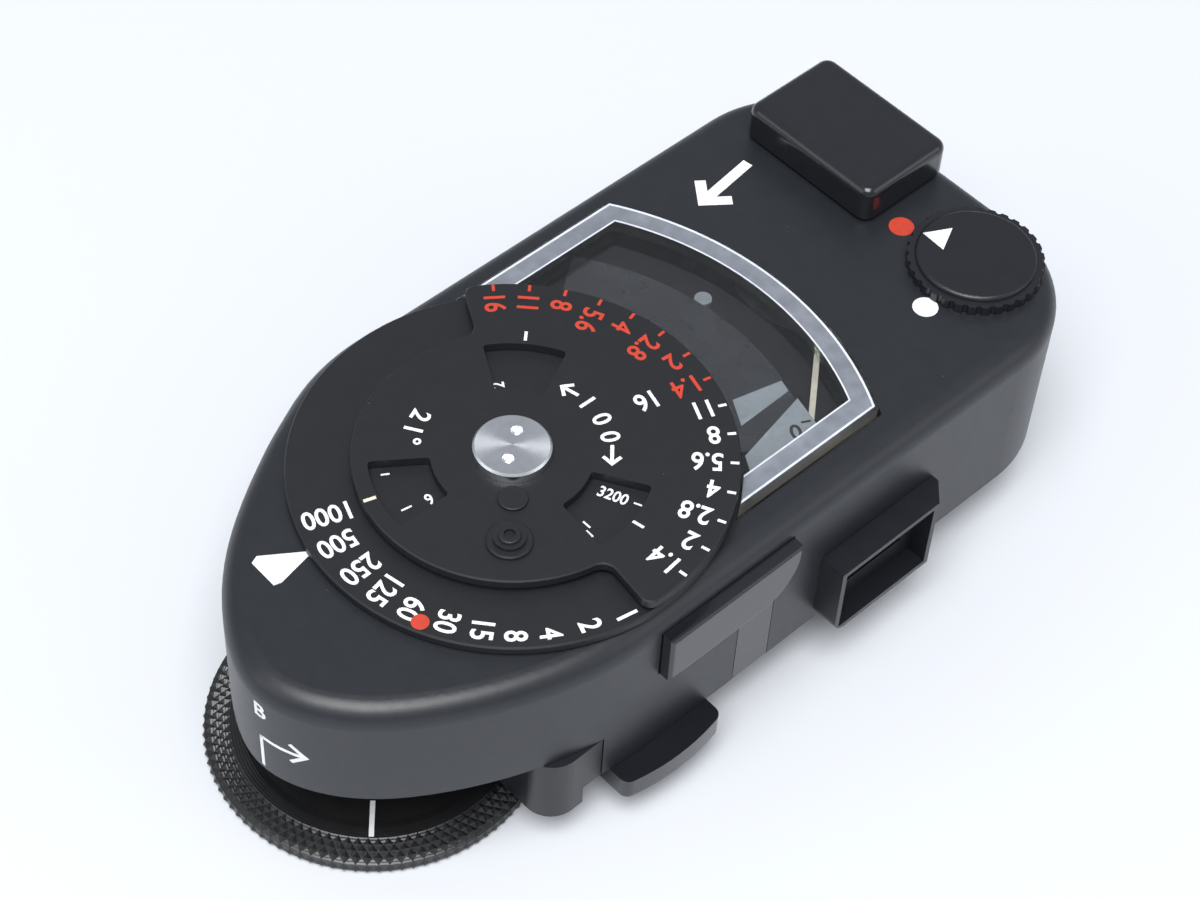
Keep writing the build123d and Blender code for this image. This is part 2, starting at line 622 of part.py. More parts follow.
def hair_springs():
    """Flat spiral springs, one above and one below the coil, each a row of joined half circles."""
    made = []
    for z in (-3.6, -11.55):
        edges, side, radius, x = [], 1, 0.8, 0.0
        start = (radius, 0.0)
        for turn in range(6):
            reach = 0.8 + 0.16 * (turn + 1)
            end = (-side * reach, 0.0)
            mid_x, r = (start[0] + end[0]) / 2, abs(start[0] - end[0]) / 2
            edges.append(ThreePointArc(start, (mid_x, side * r), end))
            start, side = end, -side
        path = Wire(edges)
        plane = Plane(origin=path @ 0, z_dir=path % 0)
        made.append(around_galvo(Pos(0, 0, z) * sweep(plane * Rectangle(0.06, 0.25), path=path)))
    return Compound(children=made)


# ---- light cell -----------------------------------------------------------------------------------
def cell_hood():
    """Open frame on the wall: a thin rim with a slanted end, and a tunnel through the wall behind it."""
    (x0, x1), (z0, z1) = HOOD_X, HOOD_Z
    wall = BODY_FRONT - 0.02
    slant = HOOD_Y + 1.5
    outline = Polyline((x0, wall), (x0, HOOD_Y), (x1, HOOD_Y), (HOOD_END, slant), (HOOD_END, wall), close=True)
    frame = prism(make_face(outline), z0, z1)
    frame = fillet([e for e in frame.edges().filter_by(Axis.Y) if e.center().Z < z0 + 0.1][:1], 1.2)
    recess = block(x0 + HOOD_RIM, x1 - HOOD_RIM, HOOD_Y - 1, wall - 0.5, z0 + HOOD_RIM, z1 - HOOD_RIM)
    tunnel = block(*TUNNEL_X, BODY_FRONT - 0.1, -14.2, *TUNNEL_Z)
    (a, b), (c, d), t = TUNNEL_X, TUNNEL_Z, TUNNEL_WALL
    return frame - recess + tunnel - block(a + t, b - t, -20, -13, c + t, d - t)


def cell_window():
    (x0, x1), (z0, z1), t = TUNNEL_X, TUNNEL_Z, TUNNEL_WALL + 0.02
    return block(x0 + t, x1 - t, -14.9, -14.2, z0 + t, z1 - t)


def photo_cell():
    x, z = sum(TUNNEL_X) / 2, sum(TUNNEL_Z) / 2
    can = Pos(x, 0, z) * turned_to_y(cyl(2.7, 0, 2.2), -14.0)
    for side in (-1, 1):
        can += Pos(x + side * 1.2, 0, z) * turned_to_y(cyl(0.25, 0, 2.4), -11.8)
    return can


# ---- controls -------------------------------------------------------------------------------------
def bar_slab(y0, y1, grow=0.0):
    """The bar's outline between two depths, with its rounded lower right corner."""
    slab = block(BAR_X[0] - grow, BAR_X[1] + grow, y0, y1, BAR_Z[0] - grow, BAR_Z[1] + grow)
    edges = slab.edges().filter_by(Axis.Y)
    return fillet(edges.group_by(Axis.Z)[0].sort_by(Axis.X)[-1], 3.6)


def test_bar():
    """Push bar that goes through an opening in the wall, with a leg down the wall's slot."""
    slab = bar_slab(BAR_Y, BAR_BACK)
    slab = fillet(slab.faces().sort_by(Axis.Y)[0].edges(), 0.3)
    leg = block(LEG_X[0] + 0.06, LEG_X[1] - 0.06, BODY_FRONT, -15.2, BODY_BOTTOM + 0.05, BAR_Z[1] - 1.3)
    return slab + leg


def bar_spring():
    """Small return spring between the leg and the base housing's wall."""
    x = sum(LEG_X) / 2
    spring = coil_spring(0.9, 0.12, 0.0, 2.3, 4)
    return Pos(x, 0, -4.6) * turned_to_y(spring, -15.18)


def bar_contact():
    x = sum(LEG_X) / 2
    blade = block(x - 1.5, x + 1.5, -12.85, -12.6, -6.1, -3.4)
    return blade + block(x - 1.5, x + 1.5, -12.85, -11.4, -6.1, -5.85)


def measuring_slide():
    x0, x1, y0, y1 = SLIDE_X[0], SLIDE_X[1], SLIDE_Y[0], SLIDE_Y[1]
    solid = block(x0, x1, y0, y1, 0.35, SLIDE_TOP)
    solid = round_vertical(solid, 1.0)
    solid = fillet(solid.faces().sort_by(Axis.Z)[-1].edges(), 0.75)
    solid += round_vertical(block(x0 + 0.5, x1 - 0.5, y0 + 0.5, y1 - 0.5, 0.06, 0.4), 1.1)
    sx0, sx1, sy0, sy1 = STEM
    return solid + block(sx0, sx1, sy0, sy1, -2.1, 0.2)


def slide_carriage():
    x0, x1, y0, y1 = STEM
    plate = block(x0 - 0.7, x1 + 0.3, y0 - 1.4, y1 + 1.4, -2.1, -1.1) - block(x0, x1, y0, y1, -3, 0)
    wiper = block(x0 + 0.4, x0 + 1.6, y0 - 1.2, y1 - 0.8, -2.7, -2.1)
    return plate + wiper


def slide_spring():
    spring = coil_spring(0.75, 0.12, 0.0, 5.4, 9)
    return Pos(35.7, 9.75, -3.0) * Rot(0, 90, 0) * spring


def range_knob():
    skirt = cyl(KNOB_R, 0.08, 0.78)
    for tooth in range(KNOB_TEETH):
        skirt -= cyl(0.24, -1, 2, *polar(KNOB_R + 0.05, 360 * tooth / KNOB_TEETH))
    cap = cyl(KNOB_CAP_R, 0.7, KNOB_TOP)
    cap = fillet(cap.edges().sort_by(Axis.Z)[-1], 0.3)
    stem = cyl(KNOB_STEM - RUN, -0.9, 0.1)
    return Pos(KNOB[0], KNOB[1], 0) * (skirt + cap + stem - cyl(1.1, -5, 0.5))


def range_shaft():
    return cyl(1.1, -6.0, 0.5, *KNOB) + cyl(2.0, -1.6, -1.05, *KNOB)


def range_wiper():
    solid = cyl(2.0, -5.9, -5.3) + block(0, 3.0, -0.5, 0.5, -5.9, -5.6)
    return Pos(KNOB[0], KNOB[1], 0) * (Rot(0, 0, 98) * solid - cyl(1.1, -8, 0))


def range_board():
    solid = block(-3.4, 3.6, -3.8, 3.4, -6.9, -6.1) - cyl(1.3, -8, 0)
    solid = Pos(KNOB[0], KNOB[1], 0) * solid
    return solid - cyl(7.2, -20, 0, *GALVO)


# ---- electrics ------------------------------------------------------------------------------------
def circuit_board():
    board = block(11.0, 24.6, -10.6, 13.6, -12.6, -11.8)
    board -= cyl(2.0, -20, 0, *COVER_SCREWS[0])
    board -= cyl(CELL_R + 1.2, -20, 0, CELL_X)
    board -= cyl(7.2, -20, 0, *GALVO)
    for x, y in FOOT_SCREWS:
        board -= cyl(0.9, -20, 0, x, y)
    return board


def resistors():
    made = []
    for y in (-4.0, -1.2, 1.6, 4.4):
        body = fillet(Cylinder(0.75, 3.6).edges(), 0.25) + Cylinder(0.2, 5.6)
        made.append(Pos(18.5, y, -10.9) * Rot(0, 90, 0) * body)
    return Compound(children=made)


def trim_resistors():
    made = []
    for x in (16.0, 21.0):
        body = block(x - 1.8, x + 1.8, 8.6, 12.2, -11.8, -10.6) + cyl(1.2, -10.6, -10.0, x, 10.4)
        made.append(body - block(x - 1.1, x + 1.1, 10.2, 10.6, -10.2, -9.9))
    return Compound(children=made)


PIECES = {
    "top_cover": top_cover,
    "base_housing": base_housing,
    "nose_plate": nose_plate,
    "mechanism_plate": mechanism_plate,
    "accessory_foot": accessory_foot,
    "foot_spring": foot_spring,
    "button_cell": button_cell,
    "cell_contact": cell_contact,
    "battery_door": battery_door,
    "door_rails": door_rails,
    "shutter_ring": shutter_ring,
    "film_scale_disc": film_scale_disc,
    "aperture_plate": aperture_plate,
    "turning_peg": turning_peg,
    "rivet_button": rivet_button,
    "dial_post": dial_post,
    "centre_screw": centre_screw,
    "ring_gear": ring_gear,
    "coupling_gear": coupling_gear,
    "coupling_shaft": coupling_shaft,
    "shaft_bushes": shaft_bushes,
    "coupling_disc": coupling_disc,
    "coupling_pin": coupling_pin,
    "coupling_screw": coupling_screw,
    "lift_spring": lift_spring,
    "window_lens": window_lens,
    "window_scale": window_scale,
    "window_well": window_well,
    "meter_magnet": meter_magnet,
    "meter_core": meter_core,
    "meter_coil": meter_coil,
    "needle": needle,
    "pivot_staffs": pivot_staffs,
    "meter_bridges": meter_bridges,
    "jewel_screws": jewel_screws,
    "hair_springs": hair_springs,
    "cell_hood": cell_hood,
    "cell_window": cell_window,
    "photo_cell": photo_cell,
    "test_bar": test_bar,
    "bar_spring": bar_spring,
    "bar_contact": bar_contact,
    "measuring_slide": measuring_slide,
    "slide_carriage": slide_carriage,
    "slide_spring": slide_spring,
    "range_knob": range_knob,
    "range_shaft": range_shaft,
    "range_wiper": range_wiper,
    "range_board": range_board,
    "circuit_board": circuit_board,
    "resistors": resistors,
    "trim_resistors": trim_resistors,
}

for piece_name, make in PIECES.items():
    save(piece_name, make())

save("cover_screws", screws(COVER_SCREWS, 1.4, BODY_BOTTOM + 0.05, -1, 4.0, 0.75))
save("nose_screws", screws(NOSE_SCREWS, 1.4, NOSE_BOTTOM + 0.05, -1, 3.5, 0.75))
save("plate_screws", screws(PLATE_SCREWS, 1.2, PLATE_Z[0] - 0.55, -1, 2.6, 0.55))
save("foot_screws", screws(FOOT_SCREWS, 1.35, -COVER_TOP + 0.15, -1, 5.0, 0.75))
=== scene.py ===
import json
import math

import bmesh
import bpy
from bpy.props import FloatProperty, FloatVectorProperty, IntProperty, PointerProperty
from mathutils import Matrix, Vector
from mathutils.bvhtree import BVHTree


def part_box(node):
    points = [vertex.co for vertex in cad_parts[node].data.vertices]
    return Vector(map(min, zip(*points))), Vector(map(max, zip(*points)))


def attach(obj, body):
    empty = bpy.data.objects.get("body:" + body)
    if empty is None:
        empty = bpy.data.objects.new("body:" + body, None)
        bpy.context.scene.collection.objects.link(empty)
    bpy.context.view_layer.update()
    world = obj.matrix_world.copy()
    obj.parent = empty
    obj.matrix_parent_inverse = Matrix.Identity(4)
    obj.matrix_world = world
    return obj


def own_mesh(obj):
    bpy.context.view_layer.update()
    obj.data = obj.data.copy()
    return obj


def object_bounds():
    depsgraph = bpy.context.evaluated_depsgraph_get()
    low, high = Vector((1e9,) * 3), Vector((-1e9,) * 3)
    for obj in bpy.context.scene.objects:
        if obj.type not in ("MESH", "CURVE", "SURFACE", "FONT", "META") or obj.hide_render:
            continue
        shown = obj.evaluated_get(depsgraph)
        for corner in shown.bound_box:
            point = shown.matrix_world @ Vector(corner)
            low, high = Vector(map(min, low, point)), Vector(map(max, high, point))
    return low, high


bl_info = {
    "name": "Pocket light meter",
    "version": (1, 0, 0),
    "blender": (4, 5, 0),
    "location": "3D View > Sidebar > Light meter",
    "description": "Finishes, engraved marks and knurling of a clip-on light meter, with its studio",
    "category": "Object",
}

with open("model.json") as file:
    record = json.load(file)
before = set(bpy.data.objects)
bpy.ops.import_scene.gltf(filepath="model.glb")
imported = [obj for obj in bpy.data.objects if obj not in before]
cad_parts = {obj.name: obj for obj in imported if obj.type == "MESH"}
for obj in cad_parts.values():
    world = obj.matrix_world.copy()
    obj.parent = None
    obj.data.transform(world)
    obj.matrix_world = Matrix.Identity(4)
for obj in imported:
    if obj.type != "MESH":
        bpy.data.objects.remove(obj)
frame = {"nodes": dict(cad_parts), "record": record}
CAD_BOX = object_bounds()
MM = 0.001

RING_LOW, RING_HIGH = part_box("shutter_ring")
PLATE_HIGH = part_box("aperture_plate")[1]
FILM_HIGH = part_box("film_scale_disc")[1]
COVER_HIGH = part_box("top_cover")[1]
DISC_LOW, DISC_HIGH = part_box("coupling_disc")
KNOB_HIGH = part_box("range_knob")[1]
LENS_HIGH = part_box("window_lens")[1]
SCALE_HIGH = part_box("window_scale")[1]
WELL_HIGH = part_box("window_well")[1]

DIAL = Vector(((RING_LOW.x + RING_HIGH.x) / 2, (RING_LOW.y + RING_HIGH.y) / 2, 0))
COUPLING = Vector(((DISC_LOW.x + DISC_HIGH.x) / 2, (DISC_LOW.y + DISC_HIGH.y) / 2, 0))

# Places on the dials are a radius in millimetres and an angle in degrees from +X about the dial axis.
RING_NUMBERS = (
    ("1000", 159.4), ("500", 169.9), ("250", 180.9), ("125", 190.9), ("60", 200.5), ("30", 210.9),
    ("15", 220.6), ("8", 229.4), ("4", 238.4), ("2", 249.0), ("1", 258.9),
)
RED_DOT = (14.7, 204.4)
WINDOW_RADIUS = 26.4
WINDOW_FRONT = -13.2
WINDOW_BACK = 14.3
RIM_STEPS = 48
APERTURES = ("16", "11", "8", "5.6", "4", "2.8", "2", "1.4", "11", "8", "5.6", "4", "2.8", "2", "1.4")
RED_APERTURES = 8
APERTURE_START = 53.5
APERTURE_STEP = -9.81
APERTURE_OUTER = 14.35
PLATE_NUMBER = (10.3, -15)      # the lone number inside the aperture numbers
FILM_NUMBERS = (("3200", 7.5, -66), ("1600", 7.5, -52), ("12", 6.5, 57), ("6", 6.6, 171))
FILM_TICKS = ((9.3, -66, 0.6), (7.5, -90, 0.7), (8.2, -92.5, 0.7), (8.3, 170, 0.8), (8.7, 148, 0.6))
FILM_LETTERS = (("100", 6.85, (-0.8, -15.7, -29.6), "clockwise"),
                ("21°", 7.0, (112.0, 122.6, 131.0), "anticlockwise"))
FILM_ARROW_RADIUS = 6.85
FILM_ARROWS = ((6.5, 19.7), (-35.9, -51.3))
FILM_WINDOW_TICKS = ((43.2, 10.15, 11.0), (-77.8, 9.95, 10.85))

# Outlines on the cover, the knob and the needle scale, in millimetres from the dial axis.
INDEX_OUTLINE = ((-17.7, 5.6), (-18.3, 5.35), (-18.35, 2.95), (-17.8, 2.8), (-15.1, 3.35), (-15.0, 3.75))
COVER_ARROW = ((33.3, 10.6), (27.3, 9.8))
RANGE_DOT_RADIUS = 0.95
WHITE_DOT = (32.7, -8.3)
RED_RANGE_DOT = (37.3, -1.6)
KNOB_TRIANGLE = ((37.1, -3.75), (39.15, -4.85), (37.0, -5.9))
SCALE_SECTORS = (((16.4, -5.0), (20.3, -6.0), (20.0, -7.0), (15.2, -7.1)),
                 ((20.0, -7.9), (19.2, -11.0), (12.6, -10.7), (13.5, -9.2)))
BATTERY_POINT = (22.9, 4.5)

WINDOW_NEAR = 15.85             # the window band ends here, beside the dial
# The two thin ridge bands are pale strips whose colour paints the bright highlight lines along the edges of
# the frosted band
WINDOW_BANDS = (("window_frosted_band", 0.62, 1.95, 0.015, "frost"),
                ("window_outer_highlight", 0.45, 0.62, 0.04, "ridge"),
                ("window_inner_highlight", 1.95, 2.07, 0.04, "ridge"))
RAY_LEAD = 0.02                 # metres in front of the nose from which its marks are projected

FLOOR_HALF = 3.0
SKY_COLOUR = (0.90, 0.94, 1.0, 1)
CAMERA_ANGLES = (-45.59, 50.59, 3.62)       # azimuth, elevation and roll in degrees
CAMERA_TARGET = Vector((-15.329, -3.244, 19.9))
CAMERA_DISTANCE = 188.38
CAMERA_LENS = 82.54
SENSOR_WIDTH = 36.0
CLIP_START = 0.005
TURN = {"out": 0, "in": 180, "clockwise": -90, "anticlockwise": 90}


# ---- sizes and colours ------------------------------------------------------------------------------
def length(name, description, millimetres):
    return FloatProperty(name=name, description=description, default=millimetres * MM,
                         min=0, unit="LENGTH", precision=5)


def colour(name, description, default):
    return FloatVectorProperty(name=name, description=description, default=default, size=3,
                               min=0, max=1, subtype="COLOR")


class MeterSizes(bpy.types.PropertyGroup):
    ink: length("Paint thickness", "How far a filled mark stands above its surface", 0.012)
    number_height: length("Number height", "Height of the numbers on the two dials", 1.58)
    number_pitch: length("Number pitch", "Distance from one digit to the next", 0.93)
    small_number_height: length("Small number height", "Height of the film speed numbers", 0.95)
    small_number_pitch: length("Small number pitch", "Distance between film speed digits", 0.55)
    tick_width: length("Tick width", "Width of the aperture marks", 0.22)
    knurl_height: length("Knurl height", "Height of the knurl's points above the disc", 0.2)
    knurl_count: IntProperty(name="Knurl count", description="Knurl points in one turn of the disc",
                             default=96, min=12, max=200)
    disc_top: length("Disc top", "Height of the coupling disc's flat top", 1.6)
    disc_shoulder: length("Disc shoulder", "Height of the lower edge of the disc's bevel", 0.95)
    disc_bevel: length("Disc bevel", "Radius of the flat top of the coupling disc", 10.4)


class MeterColours(bpy.types.PropertyGroup):
    paint: colour("Body paint", "Satin paint of the cover", (0.0125, 0.0145, 0.019))
    dial: colour("Dial", "Matt black of the dials", (0.0085, 0.0095, 0.012))
    moulding: colour("Moulding", "Black of the mouldings and levers", (0.009, 0.010, 0.0135))
    white: colour("White marks", "Paint in the white marks", (0.80, 0.82, 0.82))
    red: colour("Red marks", "Paint in the red marks", (0.521, 0.0462, 0.022))
    cream: colour("Cream marks", "Needle and the film index", (0.74, 0.69, 0.55))
    scale: colour("Scale print", "Pale sectors printed on the needle scale", (0.33, 0.37, 0.39))


class MeterStage(bpy.types.PropertyGroup):
    floor: colour("Floor", "Pale floor and backdrop", (0.66, 0.68, 0.72))
    sky: FloatProperty(name="Sky", description="Brightness of the light from all round", default=0.44, min=0)
    key: FloatProperty(name="Key light", description="Power of the soft light overhead", default=14.5,
                       min=0, unit="POWER")
    fill: FloatProperty(name="Fill light", description="Power of the soft light at the left", default=1.2,
                        min=0, unit="POWER")
    side: FloatProperty(name="Side light", description="Power of the soft light at the right", default=1.2,
                        min=0, unit="POWER")


# ---- shapes -----------------------------------------------------------------------------------------
def sizes():
    return bpy.context.scene.meter_sizes


def colours():
    return bpy.context.scene.meter_colours


def mesh_of(bm, name):
    """Turn the edited shape into a mesh and free it."""
    mesh = bpy.data.meshes.new(name)
    bm.to_mesh(mesh)
    bm.free()
    return mesh


def ribbon(bm, rows):
    """Join rows of four vertices into a closed strip."""
    for one, two in zip(rows, rows[1:]):
        for k in range(4):
            bm.faces.new((one[k], one[(k + 1) % 4], two[(k + 1) % 4], two[k]))
    bm.faces.new(rows[0][::-1])
    bm.faces.new(rows[-1])


def slab(outline, low, high):
    """A closed plate with that outline, as a mesh."""
    bm = bmesh.new()
    ring = [bm.verts.new((x, y, low)) for x, y in outline]
    face = bm.faces.new(ring)
    face.normal_update()
    if face.normal.z < 0:
        face.normal_flip()
    top = bmesh.ops.extrude_face_region(bm, geom=[face])["geom"]
    for v in (g for g in top if isinstance(g, bmesh.types.BMVert)):
        v.co.z = high
    bmesh.ops.recalc_face_normals(bm, faces=bm.faces)
    bmesh.ops.triangulate(bm, faces=bm.faces)
    return mesh_of(bm, "plate")


def disc(radius, sides=40):
    return [(radius * math.cos(2 * math.pi * k / sides), radius * math.sin(2 * math.pi * k / sides))
            for k in range(sides)]


def bar(x0, x1, y0, y1):
    return [(x0, y0), (x1, y0), (x1, y1), (x0, y1)]


def arrow(start, tip, stroke, barb):
    """Outline of an arrow whose head is two square-cut strokes at 45 degrees."""
    end = Vector(tip)
    along = (end - Vector(start)).normalized()
    side = Vector((-along.y, along.x))
    long, s, slope = (end - Vector(start)).length, stroke / 2, math.sqrt(0.5)
    upper = [(0, 0), (-slope * barb, slope * barb), (-slope * (barb + stroke), slope * (barb - stroke)),
             (-(1 + 2 / slope) * s, s), (-long, s)]
    points = upper + [(x, -y) for x, y in reversed(upper[1:])]
    return [tuple(end + along * x + side * y) for x, y in points]


def lettering(words, pitch, height, weight=0.018):
    """Digits as a plate about their own middle, with that pitch and height."""
    def shape(text):
        curve = bpy.data.curves.new("digits", "FONT")
        curve.body, curve.size, curve.offset = text, 1.0, weight
        curve.extrude, curve.resolution_u = 0.5, 4
        obj = bpy.data.objects.new("digits", curve)
        bpy.context.scene.collection.objects.link(obj)
        bpy.context.view_layer.update()
        made = bpy.data.meshes.new_from_object(obj.evaluated_get(bpy.context.evaluated_depsgraph_get()))
        bpy.data.objects.remove(obj)
        return made

    def span(mesh, axis):
        values = [v.co[axis] for v in mesh.vertices]
        return min(values), max(values)

    one, two, made = shape("0"), shape("00"), shape(words)
    advance = (span(two, 0)[1] - span(two, 0)[0]) - (span(one, 0)[1] - span(one, 0)[0])
    tall = span(one, 1)[1] - span(one, 1)[0]
    low, high = span(made, 0)
    middle = Vector(((low + high) / 2, sum(span(one, 1)) / 2, 0))
    ink = sizes().ink
    for v in made.vertices:
        p = v.co - middle
        v.co = Vector((p.x * pitch / advance, p.y * height / tall, (v.co.z + 0.5) * ink))
    return made


def half_width(mesh):
    return max(abs(v.co.x) for v in mesh.vertices)


def polar(radius, angle, reading, height, centre=DIAL):
    """Matrix for a mark at a radius (metres) and angle (degrees), reading one of four ways."""
    a = math.radians(angle)
    place = Vector((centre.x + radius * math.cos(a), centre.y + radius * math.sin(a), height))
    return Matrix.Translation(place) @ Matrix.Rotation(math.radians(angle + TURN[reading]), 4, "Z")


def flat(x, y, height, turned=0.0):
    """Matrix for a mark at x, y millimetres from the dial axis."""
    place = Vector((DIAL.x + x * MM, DIAL.y + y * MM, height))
    return Matrix.Translation(place) @ Matrix.Rotation(math.radians(turned), 4, "Z")


def around_dial(points):
    """Points in millimetres from the dial axis, in metres in the row frame."""
    return [(DIAL.x + x * MM, DIAL.y + y * MM) for x, y in points]


def joined(name, parts, body, material):
    """One object from several (mesh, matrix) pairs. It rides on a body."""
    bm = bmesh.new()
    for mesh, matrix in parts:
        before = len(bm.verts)
        bm.from_mesh(mesh)
        bm.verts.ensure_lookup_table()
        if matrix is not None:
            for v in bm.verts[before:]:
                v.co = matrix @ v.co
    bmesh.ops.remove_doubles(bm, verts=bm.verts, dist=1e-8)
    return settle(name, mesh_of(bm, name), body, material)


def settle(name, mesh, body, material):
    obj = bpy.data.objects.new(name, mesh)
    mesh.materials.clear()
    mesh.materials.append(material)
    bpy.context.scene.collection.objects.link(obj)
    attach(obj, body)
    return obj


def repeat_tree():
    """Geometry nodes that repeat a shape round an upright axis."""
    name = "Repeat round an axis"
    if name in bpy.data.node_groups:
        return bpy.data.node_groups[name]
    tree = bpy.data.node_groups.new(name, "GeometryNodeTree")
    tree.is_modifier = True
    add = tree.interface.new_socket
    add("Shape", in_out="INPUT", socket_type="NodeSocketGeometry")
    add("Count", in_out="INPUT", socket_type="NodeSocketInt")
    add("Start", in_out="INPUT", socket_type="NodeSocketFloat")
    add("Step", in_out="INPUT", socket_type="NodeSocketFloat")
    add("Axis", in_out="INPUT", socket_type="NodeSocketVector")
    add("Finish", in_out="INPUT", socket_type="NodeSocketMaterial")
    add("Shape", in_out="OUTPUT", socket_type="NodeSocketGeometry")
    node, link = tree.nodes.new, tree.links.new
    given, result = node("NodeGroupInput"), node("NodeGroupOutput")
    line = node("GeometryNodeMeshLine")
    line.inputs["Offset"].default_value = (0, 0, 0)
    index = node("GeometryNodeInputIndex")
    angle = node("ShaderNodeMath")
    angle.operation = "MULTIPLY_ADD"
    turn = node("ShaderNodeCombineXYZ")
    copies = node("GeometryNodeInstanceOnPoints")
    real, finish = node("GeometryNodeRealizeInstances"), node("GeometryNodeSetMaterial")
    link(given.outputs["Count"], line.inputs["Count"])
    link(given.outputs["Axis"], line.inputs["Start Location"])
    link(index.outputs[0], angle.inputs[0])
    link(given.outputs["Step"], angle.inputs[1])
    link(given.outputs["Start"], angle.inputs[2])
    link(angle.outputs[0], turn.inputs["Z"])
    link(line.outputs[0], copies.inputs["Points"])
    link(given.outputs["Shape"], copies.inputs["Instance"])
    link(turn.outputs[0], copies.inputs["Rotation"])
    link(copies.outputs[0], real.inputs[0])
    link(real.outputs[0], finish.inputs["Geometry"])
    link(given.outputs["Finish"], finish.inputs["Material"])
    link(finish.outputs[0], result.inputs[0])
    return tree


def repeated(name, mesh, count, start, step, centre, height, body, material):
    """mesh, drawn about the axis, repeated round centre. Angles are in degrees."""
    obj = bpy.data.objects.new(name + "_source", mesh)
    bpy.context.scene.collection.objects.link(obj)
    tree = repeat_tree()
    modifier = obj.modifiers.new("Repeat", "NODES")
    modifier.node_group = tree
    key = {s.name: s.identifier for s in tree.interface.items_tree if s.in_out == "INPUT"}
    modifier[key["Count"]] = count
    modifier[key["Start"]] = math.radians(start)
    modifier[key["Step"]] = math.radians(step)
    modifier[key["Axis"]] = (centre.x, centre.y, height)
    modifier[key["Finish"]] = material
    bpy.context.view_layer.update()
    made = bpy.data.meshes.new_from_object(obj.evaluated_get(bpy.context.evaluated_depsgraph_get()))
    obj.modifiers.remove(modifier)
    bpy.data.objects.remove(obj)
    if not made.vertices:
        raise RuntimeError(f"{name}: nothing was repeated")
    return settle(name, made, body, material)


# ---- finishes ---------------------------------------------------------------------------------------
class Finish:
    """A material under construction: the shader, and its object coordinates in metres."""

    def __init__(self, name, base, roughness, metallic=0.0, **sockets):
        self.material = bpy.data.materials.new(name)
        self.material.use_nodes = True
        self.tree = self.material.node_tree
        self.shader = self.tree.nodes["Principled BSDF"]
        self.base, self.roughness = tuple(base), roughness
        self.shader.inputs["Base Color"].default_value = (*base, 1)
        self.shader.inputs["Roughness"].default_value = roughness
        self.shader.inputs["Metallic"].default_value = metallic
        for socket, value in sockets.items():
            self.shader.inputs[socket.replace("_", " ")].default_value = value
        self.place = self.tree.nodes.new("ShaderNodeTexCoord").outputs["Object"]

    def node(self, kind, **values):
        made = self.tree.nodes.new(kind)
        for key, value in values.items():
            setattr(made, key, value)
        return made

    def link(self, a, b):
        self.tree.links.new(a, b)

    def centred(self, centre):
        moved = self.node("ShaderNodeMapping")
        moved.inputs["Location"].default_value = (-centre.x, -centre.y, 0)
        self.link(self.place, moved.inputs["Vector"])
        return moved.outputs[0]

    def noise(self, feature, detail=3.0):
        """Noise whose blotches are about that many millimetres across."""
        noise = self.node("ShaderNodeTexNoise")
        noise.inputs["Scale"].default_value = 1 / (feature * MM)
        noise.inputs["Detail"].default_value = detail
        self.link(self.place, noise.inputs["Vector"])
        return noise.outputs["Fac"]

    def ranged(self, value, low, high, start=0.3, stop=0.7):
        step = self.node("ShaderNodeMapRange")
        for key, number in (("From Min", start), ("From Max", stop), ("To Min", low), ("To Max", high)):
            step.inputs[key].default_value = number
        self.link(value, step.inputs["Value"])
        return step.outputs[0]

    def mixed(self, share, first, second):
        mix = self.node("ShaderNodeMix", data_type="RGBA")
        self.link(share, mix.inputs[0])
        for source, socket in ((first, mix.inputs[6]), (second, mix.inputs[7])):
            if isinstance(source, tuple):
                socket.default_value = (*source, 1)
            else:
                self.link(source, socket)
        return mix.outputs[2]

    def varied(self, feature=6.0, amount=0.25):
        """Base colour and roughness that drift a little over the surface."""
        dark = tuple(c * (1 - amount) for c in self.base)
        pale = tuple(min(1, c * (1 + amount)) for c in self.base)
        self.colour = self.mixed(self.ranged(self.noise(feature), 0, 1), dark, pale)
        rough = self.noise(feature * 0.45)
        self.rough = self.ranged(rough, self.roughness * (1 - amount * 0.5),
                                 self.roughness * (1 + amount * 0.5))
        return self

    def dusty(self, spacing, size, pale, share=1.0):
        """Small specks of dust, each on a few of the cells of that spacing."""
        cells = self.node("ShaderNodeTexVoronoi")
        cells.inputs["Scale"].default_value = 1 / (spacing * MM)
        self.link(self.place, cells.inputs["Vector"])
        speck = self.ranged(cells.outputs["Distance"], share, 0, 0, size / spacing)
        self.colour = self.mixed(speck, self.colour, pale)
        return self

    def bumpy(self, source, depth, strength=1.0):
        bump = self.node("ShaderNodeBump")
        bump.inputs["Distance"].default_value = depth * MM
        bump.inputs["Strength"].default_value = strength
        self.link(source, bump.inputs["Height"])
        if self.shader.inputs["Normal"].links:
            self.link(self.shader.inputs["Normal"].links[0].from_socket, bump.inputs["Normal"])
        self.link(bump.outputs[0], self.shader.inputs["Normal"])
        return self

    def turned(self, centre, pitch, depth, strength=0.6):
        """Fine rings left by a lathe about an upright axis."""
        wave = self.node("ShaderNodeTexWave", wave_type="RINGS", rings_direction="Z")
        wave.inputs["Scale"].default_value = 2 * math.pi / 20 / (pitch * MM)
        wave.inputs["Distortion"].default_value = 1.5
        wave.inputs["Detail"].default_value = 2.0
        self.link(self.centred(centre), wave.inputs["Vector"])
        self.rings = wave.outputs["Fac"]
        return self.bumpy(self.rings, depth, strength)

    def done(self):
        if hasattr(self, "colour"):
            self.link(self.colour, self.shader.inputs["Base Color"])
        if hasattr(self, "rough"):
            self.link(self.rough, self.shader.inputs["Roughness"])
        return self.material


DUST = (0.16, 0.17, 0.19)
FINISHES = {}


